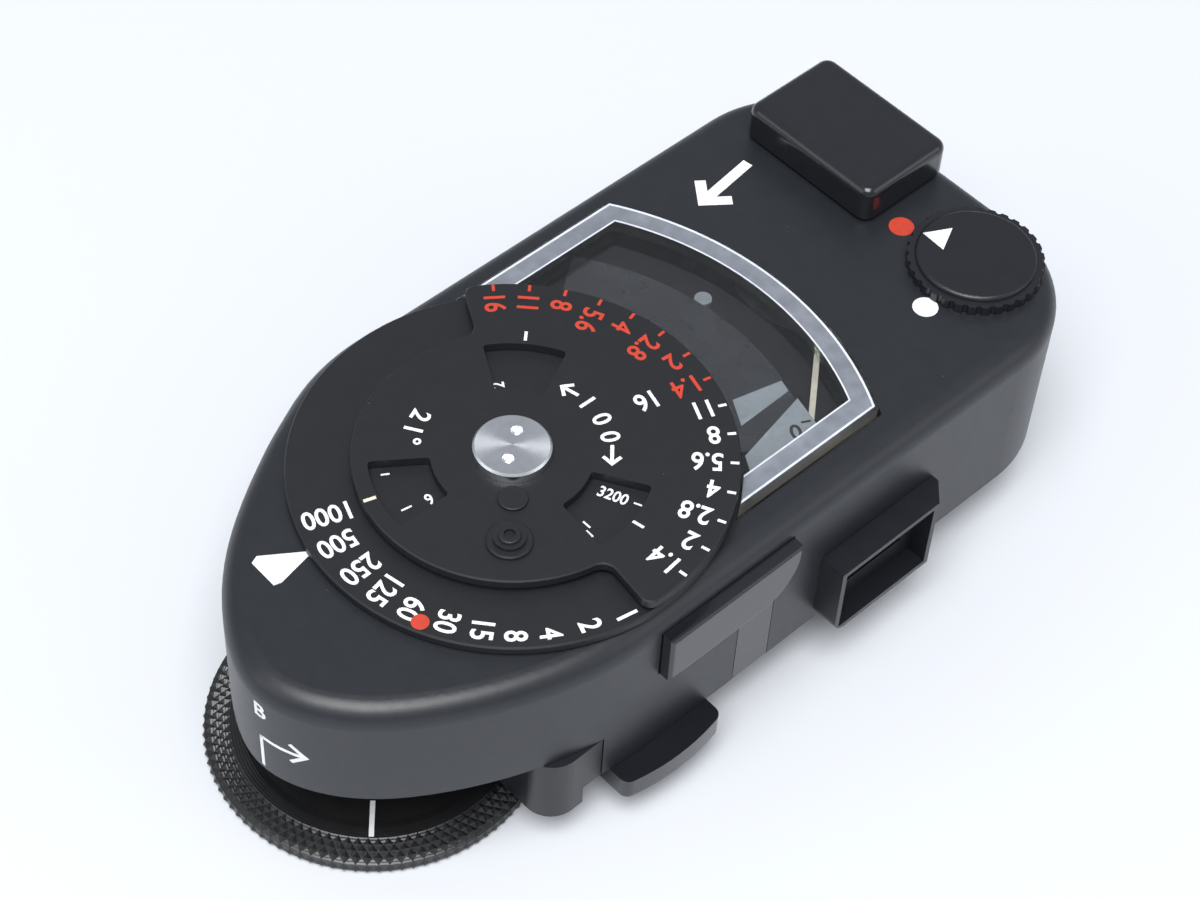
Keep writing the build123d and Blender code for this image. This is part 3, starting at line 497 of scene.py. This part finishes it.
def painted(name, base, roughness, grain=0.16, depth=0.006, dust=0.06, **sockets):
    made = Finish(name, base, roughness, **sockets).varied(1.6, 0.08)
    made.dusty(1.9, dust, DUST, 0.8)
    return made.bumpy(made.noise(grain, 2.0), depth).done()


def metal(name, base, roughness, grain=0.25, depth=0.004, amount=0.2):
    made = Finish(name, base, roughness, metallic=1.0).varied(2.5, amount)
    return made.bumpy(made.noise(grain, 2.0), depth).done()


def ink_finish(name, base):
    made = Finish(name, base, 0.55).varied(0.5, 0.06)
    return made.bumpy(made.noise(0.12, 2.0), 0.006).done()


def lens_finish():
    """Clear acrylic, frosted in a band round the raised pane's edge and tinted brass-yellow along its front
    face.
    """
    made = Finish("Clear acrylic", (0.97, 0.98, 1.0), 0.03, Transmission_Weight=1.0, IOR=1.49)
    axes = made.node("ShaderNodeSeparateXYZ")
    made.link(made.centred(DIAL), axes.inputs[0])
    reach = made.node("ShaderNodeVectorMath", operation="LENGTH")
    level = made.node("ShaderNodeCombineXYZ")
    made.link(axes.outputs["X"], level.inputs["X"])
    made.link(axes.outputs["Y"], level.inputs["Y"])
    made.link(level.outputs[0], reach.inputs[0])
    outside = made.ranged(reach.outputs["Value"], 0, 1, 24.3 * MM, 24.7 * MM)
    for start, stop in ((12.4, 12.8), (-11.5, -11.9)):
        edge = made.ranged(axes.outputs["Y"], 0, 1, start * MM, stop * MM)
        both = made.node("ShaderNodeMath", operation="MAXIMUM")
        made.link(outside, both.inputs[0])
        made.link(edge, both.inputs[1])
        outside = both.outputs[0]
    made.rough = made.ranged(outside, 0.03, 0.42, 0, 1)
    front = made.ranged(axes.outputs["Y"], 0, 1, -12.7 * MM, -13.1 * MM)
    pane = made.mixed(outside, (0.97, 0.98, 1.0), (0.80, 0.84, 0.86))
    made.colour = made.mixed(front, pane, (0.62, 0.50, 0.30))
    scratches = made.noise(2.5, 3.0)
    return made.bumpy(scratches, 0.002, 0.15).done()


def scale_finish():
    """Glossy dark plate that is slightly wavy, so that it catches the light in streaks."""
    made = Finish("Scale plate", (0.022, 0.024, 0.029), 0.12, Specular_IOR_Level=0.8).varied(3.0, 0.2)
    waves = made.node("ShaderNodeTexNoise")
    waves.inputs["Scale"].default_value = 1 / (2.2 * MM)
    waves.inputs["Detail"].default_value = 1.0
    waves.inputs["Distortion"].default_value = 1.2
    made.link(made.place, waves.inputs["Vector"])
    return made.bumpy(waves.outputs["Fac"], 0.05, 0.5).done()


def screw_finish():
    """Bright face with the sheen of fine turned rings about the dial's axis."""
    made = Finish("Turned face", (0.80, 0.82, 0.86), 0.3, metallic=1.0, Anisotropic=0.85).varied(0.8, 0.06)
    round_axis = made.node("ShaderNodeVectorMath", operation="CROSS_PRODUCT")
    made.link(made.centred(DIAL), round_axis.inputs[0])
    round_axis.inputs[1].default_value = (0, 0, 1)
    unit = made.node("ShaderNodeVectorMath", operation="NORMALIZE")
    made.link(round_axis.outputs[0], unit.inputs[0])
    made.link(unit.outputs[0], made.shader.inputs["Tangent"])
    return made.turned(DIAL, 0.13, 0.001, 0.3).done()


def make_finishes():
    c = colours()
    paint, dial, moulding = tuple(c.paint), tuple(c.dial), tuple(c.moulding)
    made = {
        "black_paint": painted("Satin body paint", paint, 0.40, Specular_IOR_Level=0.55),
        "dial_black": painted("Matt dial paint", dial, 0.47, grain=0.10, depth=0.003),
        "gloss_black": painted("Glossy moulding", moulding, 0.22, grain=0.5, depth=0.004, dust=0.03,
                               Coat_Weight=0.25, Coat_Roughness=0.1),
        "satin_black": painted("Satin moulding", moulding, 0.36, grain=0.2, depth=0.005),
        "scale_grey": scale_finish(),
        "needle_cream": ink_finish("Needle paint", tuple(c.cream)),
        "steel": metal("Bright steel", (0.55, 0.55, 0.56), 0.28),
        "brass": metal("Machined brass", (0.66, 0.47, 0.20), 0.32),
        "copper": metal("Copper winding", (0.62, 0.28, 0.12), 0.38, grain=0.12, depth=0.02),
        "magnet": metal("Cast magnet", (0.17, 0.17, 0.18), 0.55, grain=0.4, depth=0.02),
        "board": painted("Brown laminate", (0.12, 0.062, 0.024), 0.5, grain=0.3, depth=0.008),
        "clear": lens_finish(),
    }
    disc = Finish("Anodised disc", (0.010, 0.0102, 0.011), 0.34, Specular_IOR_Level=0.6).varied(5.0, 0.2)
    disc.dusty(1.4, 0.04, DUST, 0.8)
    made["black_anodised"] = disc.turned(COUPLING, 0.21, 0.012, 0.7).done()
    made["bright_metal"] = screw_finish()
    made["white"] = ink_finish("White marks", tuple(c.white))
    made["red"] = ink_finish("Red marks", tuple(c.red))
    made["print"] = ink_finish("Scale print", tuple(c.scale))
    made["dark"] = ink_finish("Dark print", (0.02, 0.022, 0.025))
    frost = Finish("Frosted band", (0.36, 0.39, 0.45), 0.40, Alpha=0.5).varied(1.2, 0.15)
    made["frost"] = frost.bumpy(frost.noise(0.2), 0.01).done()
    # The pale colour of the thin ridges is a painted highlight that stands in for the bright lines along the
    # frosted band's edges
    ridge = Finish("Painted edge highlight", (0.66, 0.70, 0.76), 0.24).varied(0.8, 0.1)
    made["ridge"] = ridge.bumpy(ridge.noise(0.3), 0.004).done()
    FINISHES.update(made)


# ---- operators --------------------------------------------------------------------------------------
class METER_OT_finishes(bpy.types.Operator):
    """Give every part of the meter its finish"""

    bl_idname = "meter.finishes"
    bl_label = "Finishes"

    def execute(self, context):
        make_finishes()
        slots = {s["node"]: s["material_slot"] for s in frame["record"]["subparts"]}
        for node, obj in frame["nodes"].items():
            obj.data.materials.clear()
            matt = node in ("turning_peg", "rivet_button")
            obj.data.materials.append(FINISHES["dial_black" if matt else slots[node]])
        return {"FINISHED"}


class METER_OT_springs(bpy.types.Operator):
    """Read the fixed end of each of the three return springs and give each spring a mesh of its own"""

    bl_idname = "meter.springs"
    bl_label = "Springs"

    def execute(self, context):
        moves = {j["name"]: j for j in frame["record"]["behaviour"]["joints"]}
        for spring, joint, axis, end in (("lift_spring", "coupling_disc_lift", 2, "fixed_end_z_m"),
                                         ("slide_spring", "measuring_slide_travel", 0, "fixed_end_x_m"),
                                         ("bar_spring", "test_bar_press", 1, "fixed_end_y_m")):
            fixed = next(d[end] for d in moves[joint]["deforming_nodes"] if d["node"] == spring)
            direction, anchor = Vector((0, 0, 0)), Vector((0, 0, 0))
            direction[axis], anchor[axis] = 1, fixed
            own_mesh(frame["nodes"][spring])
        return {"FINISHED"}


class METER_OT_ring_marks(bpy.types.Operator):
    """Shutter speeds, the red point and the end mark on the ring"""

    bl_idname = "meter.ring_marks"
    bl_label = "Ring marks"

    def execute(self, context):
        s, z = sizes(), RING_HIGH.z
        parts = []
        for text, angle in RING_NUMBERS:
            digits = lettering(text, s.number_pitch, s.number_height)
            outer = 15.0 if len(text) == 4 else 14.95
            radius = outer * MM - half_width(digits)
            parts.append((digits, polar(radius, angle, "out", z)))
        parts.append((slab(bar(-0.5 * MM, 0.45 * MM, -0.11 * MM, 0.11 * MM), 0, s.ink),
                      polar(14.75 * MM, 265.9, "out", z)))
        joined("ring_numbers", parts, "ring", FINISHES["white"])
        dot = slab(disc(0.62 * MM), 0, s.ink * 1.6)
        joined("ring_red_point", [(dot, polar(RED_DOT[0] * MM, RED_DOT[1], "out", z))],
               "ring", FINISHES["red"])
        return {"FINISHED"}


class METER_OT_aperture_marks(bpy.types.Operator):
    """Aperture numbers and their marks on the fan-shaped plate"""

    bl_idname = "meter.aperture_marks"
    bl_label = "Aperture marks"

    def execute(self, context):
        s, z = sizes(), PLATE_HIGH.z
        parts = {"red": [], "white": []}
        for k, text in enumerate(APERTURES):
            digits = lettering(text, s.number_pitch, s.number_height)
            radius = APERTURE_OUTER * MM - half_width(digits)
            ink = "red" if k < RED_APERTURES else "white"
            parts[ink].append((digits, polar(radius, APERTURE_START + k * APERTURE_STEP, "in", z)))
        lone = lettering("16", s.number_pitch, s.number_height)
        parts["white"].append((lone, polar(PLATE_NUMBER[0] * MM, PLATE_NUMBER[1], "in", z)))
        tick = slab(bar(14.85 * MM, 15.45 * MM, -s.tick_width / 2, s.tick_width / 2), 0, s.ink)
        white = len(APERTURES) - RED_APERTURES
        for ink, count, first in (("red", RED_APERTURES, 0), ("white", white, RED_APERTURES)):
            joined(f"aperture_numbers_{ink}", parts[ink], "aperture_dial", FINISHES[ink])
            repeated(f"aperture_ticks_{ink}", tick.copy(), count, APERTURE_START + first * APERTURE_STEP,
                     APERTURE_STEP, DIAL, z, "aperture_dial", FINISHES[ink])
        return {"FINISHED"}


class METER_OT_film_marks(bpy.types.Operator):
    """Film speed marks: sample numbers with arrows, window indexes and the scale below the windows"""

    bl_idname = "meter.film_marks"
    bl_label = "Film speed marks"

    def execute(self, context):
        s, z = sizes(), PLATE_HIGH.z
        parts = []
        for text, radius, places, reading in FILM_LETTERS:
            for character, angle in zip(text, places):
                letter = lettering(character, 0.95 * MM, 1.4 * MM)
                parts.append((letter, polar(radius * MM, angle, reading, z)))
        for arrow_ends in FILM_ARROWS:
            ends = [(FILM_ARROW_RADIUS * MM * math.cos(math.radians(a)),
                     FILM_ARROW_RADIUS * MM * math.sin(math.radians(a))) for a in arrow_ends]
            parts.append((slab(arrow(*ends, 0.26 * MM, 1.0 * MM), 0, s.ink), flat(0, 0, z)))
        for angle, low, high in FILM_WINDOW_TICKS:
            parts.append((slab(bar(low * MM, high * MM, -0.11 * MM, 0.11 * MM), 0, s.ink),
                          flat(0, 0, z) @ Matrix.Rotation(math.radians(angle), 4, "Z")))
        joined("film_speed_marks", parts, "aperture_dial", FINISHES["white"])
        cream = slab(bar(9.95 * MM, 10.85 * MM, -0.13 * MM, 0.13 * MM), 0, s.ink)
        joined("film_speed_index", [(cream, flat(0, 0, z) @ Matrix.Rotation(math.radians(162.2), 4, "Z"))],
               "aperture_dial", FINISHES["needle_cream"])

        low, parts = FILM_HIGH.z, []
        for text, radius, angle in FILM_NUMBERS:
            parts.append((lettering(text, s.small_number_pitch, s.small_number_height),
                          polar(radius * MM, angle, "out", low)))
        for radius, angle, long in FILM_TICKS:
            parts.append((slab(bar(-long / 2 * MM, long / 2 * MM, -0.07 * MM, 0.07 * MM), 0, s.ink),
                          polar(radius * MM, angle, "out", low)))
        joined("film_scale_numbers", parts, "ring", FINISHES["white"])
        return {"FINISHED"}


class METER_OT_cover_marks(bpy.types.Operator):
    """Index, arrow and points on the cover, and the marks round the nose"""

    bl_idname = "meter.cover_marks"
    bl_label = "Cover marks"

    def execute(self, context):
        s, z = sizes(), COVER_HIGH.z
        long_arrow = arrow(*COVER_ARROW, 0.85, 2.6)
        parts = [(slab(around_dial(INDEX_OUTLINE), 0, s.ink), Matrix.Translation((0, 0, z))),
                 (slab(around_dial(long_arrow), 0, s.ink), Matrix.Translation((0, 0, z))),
                 (slab(disc(RANGE_DOT_RADIUS * MM), 0, s.ink), flat(*WHITE_DOT, z))]
        joined("cover_white_marks", parts, "housing", FINISHES["white"])
        red = slab(disc(RANGE_DOT_RADIUS * MM), 0, s.ink)
        joined("cover_red_point", [(red, flat(*RED_RANGE_DOT, z))], "housing", FINISHES["red"])
        self.nose_marks(s)
        return {"FINISHED"}

    def nose_marks(self, s):
        cover = frame["nodes"]["top_cover"]
        tree = BVHTree.FromObject(cover, bpy.context.evaluated_depsgraph_get())
        letter = lettering("B", 1.0 * MM, 1.5 * MM)
        pieces = [(letter, (-2.6, -2.85)),
                  (self.stroke([(-2.5, -9.2), (-2.5, -5.9), (-5.7, -5.9)], 0.3), (0, 0)),
                  (self.stroke([(-4.9, -5.0), (-5.8, -5.9), (-4.9, -6.8)], 0.3), (0, 0))]
        parts = []
        for mesh, (across, up) in pieces:
            for v in mesh.vertices:
                y, height = across * MM - v.co.x, COVER_HIGH.z + up * MM + v.co.y
                start = Vector((CAD_BOX[0].x - RAY_LEAD, y, height))
                hit, normal, _, _ = tree.ray_cast(start, Vector((1, 0, 0)))
                if hit is None:
                    raise RuntimeError("a nose mark misses the wall")
                if normal.x > 0:
                    normal = -normal
                v.co = hit + normal * (v.co.z + s.ink * 0.25)
            parts.append((mesh, None))
        joined("nose_marks", parts, "housing", FINISHES["white"])

    def stroke(self, corners, width):
        """A painted line through corners (y, height in millimetres), in short steps that can bend."""
        bm = bmesh.new()
        ink, half = sizes().ink, width * MM / 2
        for a, b in zip(corners, corners[1:]):
            start, end = (Vector((-p[0] * MM, p[1] * MM, 0)) for p in (a, b))
            along = (end - start).normalized()
            side = Vector((-along.y, along.x, 0)) * half
            start, end = start - along * half, end + along * half
            count = max(2, round((end - start).length / (0.3 * MM)))
            rows = []
            for k in range(count + 1):
                p = start.lerp(end, k / count)
                rows.append([bm.verts.new(p + side * t + Vector((0, 0, w))) for t, w in
                             ((1, 0), (-1, 0), (-1, ink), (1, ink))])
            ribbon(bm, rows)
        bmesh.ops.recalc_face_normals(bm, faces=bm.faces)
        return mesh_of(bm, "stroke")


class METER_OT_knob_mark(bpy.types.Operator):
    """White triangle on the range knob"""

    bl_idname = "meter.knob_mark"
    bl_label = "Knob mark"

    def execute(self, context):
        outline = around_dial(KNOB_TRIANGLE)
        joined("knob_triangle", [(slab(outline, 0, sizes().ink), Matrix.Translation((0, 0, KNOB_HIGH.z)))],
               "range_knob", FINISHES["white"])
        return {"FINISHED"}


class METER_OT_window_marks(bpy.types.Operator):
    """Printing on the needle scale, and the battery point beside it"""

    bl_idname = "meter.window_marks"
    bl_label = "Window marks"

    def execute(self, context):
        s, z = sizes(), SCALE_HIGH.z
        lift = Matrix.Translation((0, 0, z))
        joined("scale_sectors", [(slab(around_dial(points), 0, s.ink), lift) for points in SCALE_SECTORS],
               "housing", FINISHES["print"])
        zero = lettering("0", 0.9 * MM, 1.35 * MM)
        tick = slab(bar(-0.35 * MM, 0.35 * MM, -0.09 * MM, 0.09 * MM), 0, s.ink)
        marks = [(zero, flat(17.7, -10.0, z + s.ink, -30)), (tick, flat(18.9, -9.8, z + s.ink, -28))]
        joined("scale_zero", marks, "housing", FINISHES["dark"])
        joined("battery_point", [(slab(disc(0.65 * MM), 0, 0.4 * MM), flat(*BATTERY_POINT, WELL_HIGH.z))],
               "housing", FINISHES["print"])
        self.rim()
        return {"FINISHED"}

    def outline(self, inset):
        """The window's edge moved in by inset millimetres: the front side, the arc and the back."""
        radius, front, back = WINDOW_RADIUS - inset, WINDOW_FRONT + inset, WINDOW_BACK - inset
        start, stop = math.asin(front / radius), math.asin(back / radius)
        points = [(math.sqrt(WINDOW_NEAR ** 2 - front ** 2), front)]
        for k in range(RIM_STEPS + 1):
            a = start + (stop - start) * k / RIM_STEPS
            points.append((radius * math.cos(a), radius * math.sin(a)))
        points.append((math.sqrt(WINDOW_NEAR ** 2 - back ** 2), back))
        return points

    def rim(self):
        # The frosted band of the window, and two thin pale ridges whose colour paints the highlight lines
        # along its edges
        top = LENS_HIGH.z
        for name, outer, inner, thick, finish in WINDOW_BANDS:
            bm = bmesh.new()
            rows = []
            for (ax, ay), (bx, by) in zip(self.outline(outer), self.outline(inner)):
                corners = ((ax, ay, 0), (bx, by, 0), (bx, by, thick), (ax, ay, thick))
                rows.append([bm.verts.new((DIAL.x + x * MM, DIAL.y + y * MM, top + z * MM))
                             for x, y, z in corners])
            ribbon(bm, rows)
            bmesh.ops.recalc_face_normals(bm, faces=bm.faces)
            settle(name, mesh_of(bm, name), "housing", FINISHES[finish])


class METER_OT_knurling(bpy.types.Operator):
    """Diamond knurl round the coupling disc, and its index line"""

    bl_idname = "meter.knurling"
    bl_label = "Knurling"

    def execute(self, context):
        s = sizes()
        edge = (DISC_HIGH.x - DISC_LOW.x) / 2
        pitch = 2 * math.pi / s.knurl_count
        profile = [Vector((s.disc_bevel, s.disc_top)), Vector((edge - 0.02 * MM, s.disc_shoulder)),
                   Vector((edge - 0.02 * MM, 0.04 * MM))]
        bm = bmesh.new()
        for (a, b), rows in zip(zip(profile, profile[1:]), (4, 2)):
            along = (b - a) / rows
            out = Vector((-along.y, along.x)).normalized()
            if out.x < 0:
                out = -out
            for row in range(1, rows):
                middle = a + along * row
                shift = (row % 2) * pitch / 2
                points = []
                for step, turn in ((-1, 0), (0, -0.5), (1, 0), (0, 0.5)):
                    p = middle + along * step
                    angle = shift + turn * pitch
                    points.append(bm.verts.new((p.x * math.cos(angle), p.x * math.sin(angle), p.y)))
                tip = middle + out * s.knurl_height
                peak = bm.verts.new((tip.x * math.cos(shift), tip.x * math.sin(shift), tip.y))
                for k in range(4):
                    bm.faces.new((points[k], points[(k + 1) % 4], peak))
                bm.faces.new(points)
        bmesh.ops.recalc_face_normals(bm, faces=bm.faces)
        repeated("disc_knurl", mesh_of(bm, "knurl"), s.knurl_count, 0, 360 / s.knurl_count,
                 COUPLING, 0, "coupling_disc", FINISHES["black_anodised"])
        line = slab(bar(7.4 * MM, s.disc_bevel - 0.1 * MM, -0.18 * MM, 0.18 * MM), 0, s.ink)
        joined("disc_index", [(line, polar(0, -132, "out", s.disc_top, COUPLING))],
               "coupling_disc", FINISHES["white"])
        return {"FINISHED"}


class METER_OT_studio(bpy.types.Operator):
    """Pale floor, soft lights and the camera"""

    bl_idname = "meter.studio"
    bl_label = "Studio"

    def execute(self, context):
        stage, scene = context.scene.meter_stage, context.scene
        bm = bmesh.new()
        bmesh.ops.create_grid(bm, x_segments=1, y_segments=1, size=FLOOR_HALF)
        mesh = mesh_of(bm, "floor")
        floor = bpy.data.objects.new("floor", mesh)
        mesh.materials.append(Finish("Floor", tuple(stage.floor), 0.75).material)
        scene.collection.objects.link(floor)
        scene.view_settings.view_transform = "Standard"
        world = scene.world or bpy.data.worlds.new("World")
        scene.world = world
        world.use_nodes = True
        world.node_tree.nodes["Background"].inputs["Color"].default_value = SKY_COLOUR
        world.node_tree.nodes["Background"].inputs["Strength"].default_value = stage.sky
        for name, power, size, place in (("Key", stage.key, 0.7, (-0.35, -0.25, 1.0)),
                                         ("Fill", stage.fill, 0.6, (-0.9, 0.35, 0.5)),
                                         ("Side", stage.side, 0.6, (0.55, -0.9, 0.5))):
            lamp = bpy.data.lights.new(name, "AREA")
            lamp.energy, lamp.size = power, size
            light = bpy.data.objects.new(name, lamp)
            light.location = place
            light.rotation_euler = (-Vector(place)).to_track_quat("-Z", "Y").to_euler()
            scene.collection.objects.link(light)
        self.camera(scene)
        return {"FINISHED"}

    def camera(self, scene):
        azimuth, elevation, roll = (math.radians(a) for a in CAMERA_ANGLES)
        back = Vector((math.sin(azimuth) * math.cos(elevation), -math.cos(azimuth) * math.cos(elevation),
                       math.sin(elevation)))
        right = Vector((math.cos(azimuth), math.sin(azimuth), 0))
        up = back.cross(right)
        across = math.cos(roll) * right + math.sin(roll) * up
        upward = -math.sin(roll) * right + math.cos(roll) * up
        data = bpy.data.cameras.new("Camera")
        data.lens, data.sensor_width, data.clip_start = CAMERA_LENS, SENSOR_WIDTH, CLIP_START
        camera = bpy.data.objects.new("Camera", data)
        place = Matrix((across, upward, back)).transposed().to_4x4()
        place.translation = CAMERA_TARGET * MM + back * CAMERA_DISTANCE * MM
        camera.matrix_world = place
        scene.collection.objects.link(camera)
        scene.camera = camera


class METER_PT_panel(bpy.types.Panel):
    """Sizes, colours and the steps that finish the meter"""

    bl_idname = "METER_PT_panel"
    bl_label = "Light meter"
    bl_space_type = "VIEW_3D"
    bl_region_type = "UI"
    bl_category = "Light meter"

    def draw(self, context):
        layout = self.layout
        for group in ("meter_sizes", "meter_colours", "meter_stage"):
            data = getattr(context.scene, group)
            box = layout.box()
            for key in data.bl_rna.properties.keys():
                if key not in ("rna_type", "name"):
                    box.prop(data, key)
        for step in STEPS:
            layout.operator(step.bl_idname)


GROUPS = (("meter_sizes", MeterSizes), ("meter_colours", MeterColours), ("meter_stage", MeterStage))
STEPS = (METER_OT_finishes, METER_OT_springs, METER_OT_ring_marks, METER_OT_aperture_marks,
         METER_OT_film_marks, METER_OT_cover_marks, METER_OT_knob_mark, METER_OT_window_marks,
         METER_OT_knurling, METER_OT_studio)


def register():
    for name, group in GROUPS:
        bpy.utils.register_class(group)
        setattr(bpy.types.Scene, name, PointerProperty(type=group))
    for made in (*STEPS, METER_PT_panel):
        bpy.utils.register_class(made)


def unregister():
    for made in (METER_PT_panel, *reversed(STEPS)):
        bpy.utils.unregister_class(made)
    for name, group in GROUPS:
        delattr(bpy.types.Scene, name)
        bpy.utils.unregister_class(group)


def main():
    register()
    for step in STEPS:
        family, name = step.bl_idname.split(".")
        if getattr(getattr(bpy.ops, family), name)() != {"FINISHED"}:
            raise RuntimeError(f"{step.bl_label} did not finish")
    bpy.context.view_layer.update()


if __name__ == "__main__":
    main()
